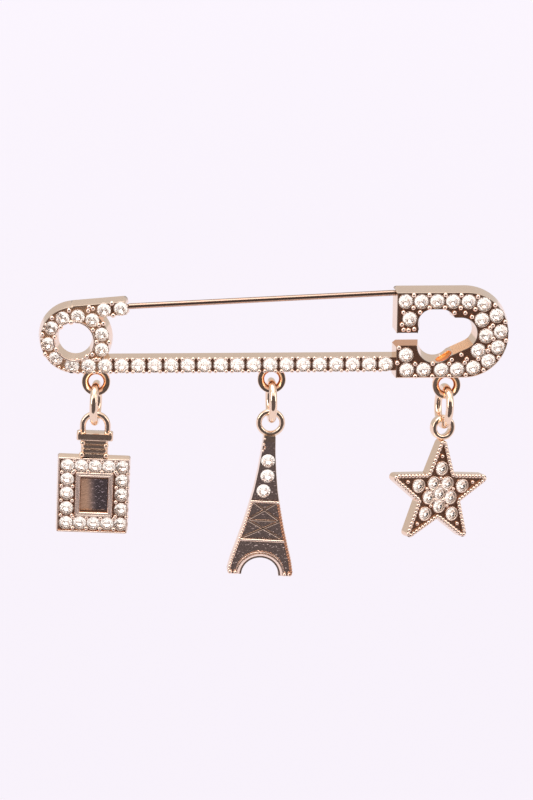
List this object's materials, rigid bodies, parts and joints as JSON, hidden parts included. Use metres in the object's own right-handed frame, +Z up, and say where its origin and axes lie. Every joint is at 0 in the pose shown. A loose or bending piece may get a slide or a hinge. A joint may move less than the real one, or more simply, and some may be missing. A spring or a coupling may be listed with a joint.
{
  "type": "kilt pin",
  "caption": "Jewelled kilt pin shaped like a large safety pin, with a hinged needle and bottle, tower and star charms that swing on jump rings.",
  "frame": {"origin": "on the needle's axis, in the middle of its free length, where the cloth is pinned", "axes": "+X along the bar from the coil to the head, +Y away from the jewelled face into the cloth side, +Z up as the brooch is worn"},
  "size_m": [0.069, 0.0092, 0.0449],
  "materials": {
    "rose_gold_plate": "polished rose-gold plating on cast alloy",
    "plated_steel": "polished rose-gold plating on steel wire",
    "crystal": "clear foil-backed cut glass"
  },
  "bodies": {
    "brooch": {"frame": "rose_gold_plate", "hinge_rivet": "plated_steel", "coil_stones": "crystal", "bar_stones": "crystal", "head_stones": "crystal"},
    "needle": {"needle": "plated_steel"},
    "bottle_link": {"bottle_ring": "rose_gold_plate"},
    "bottle_charm": {"bottle": "rose_gold_plate", "bottle_stones": "crystal"},
    "tower_link": {"tower_ring": "rose_gold_plate"},
    "tower_charm": {"tower": "rose_gold_plate", "tower_stones": "crystal"},
    "star_link": {"star_ring": "rose_gold_plate"},
    "star_charm": {"star": "rose_gold_plate", "star_stones": "crystal"}
  },
  "joints": [
    {"name": "needle_hinge", "type": "hinge", "parent": "brooch", "child": "needle", "pos_m": [-0.02158, 0, -0.00101], "axis": [0, 0, 1], "range_deg": [0, 60]},
    {"name": "bottle_swing", "type": "hinge", "parent": "brooch", "child": "bottle_link", "pos_m": [-0.02434, -0.0005, -0.01371], "axis": [0.9971, -0.0592, -0.0471], "range_deg": [-65, 65]},
    {"name": "bottle_sway", "type": "hinge", "parent": "bottle_link", "child": "bottle_charm", "pos_m": [-0.02461, -0.00048, -0.01824], "axis": [0.0593, 0.9982, 0], "range_deg": [-38, 31]},
    {"name": "tower_swing", "type": "hinge", "parent": "brooch", "child": "tower_link", "pos_m": [0.0015, -0.0005, -0.0135], "axis": [0.9965, 0.0819, -0.0175], "range_deg": [-65, 65]},
    {"name": "tower_sway", "type": "hinge", "parent": "tower_link", "child": "tower_charm", "pos_m": [0.0014, -0.00051, -0.01804], "axis": [-0.0819, 0.9966, 0], "range_deg": [-38, 31]},
    {"name": "star_swing", "type": "hinge", "parent": "brooch", "child": "star_link", "pos_m": [0.02734, -0.0005, -0.01456], "axis": [0.9795, 0.1815, -0.0872], "range_deg": [-62, 62]},
    {"name": "star_sway", "type": "hinge", "parent": "star_link", "child": "star_charm", "pos_m": [0.02693, -0.00097, -0.01905], "axis": [-0.1923, 0.9717, -0.1369], "range_deg": [-42, 27]}
  ]
}
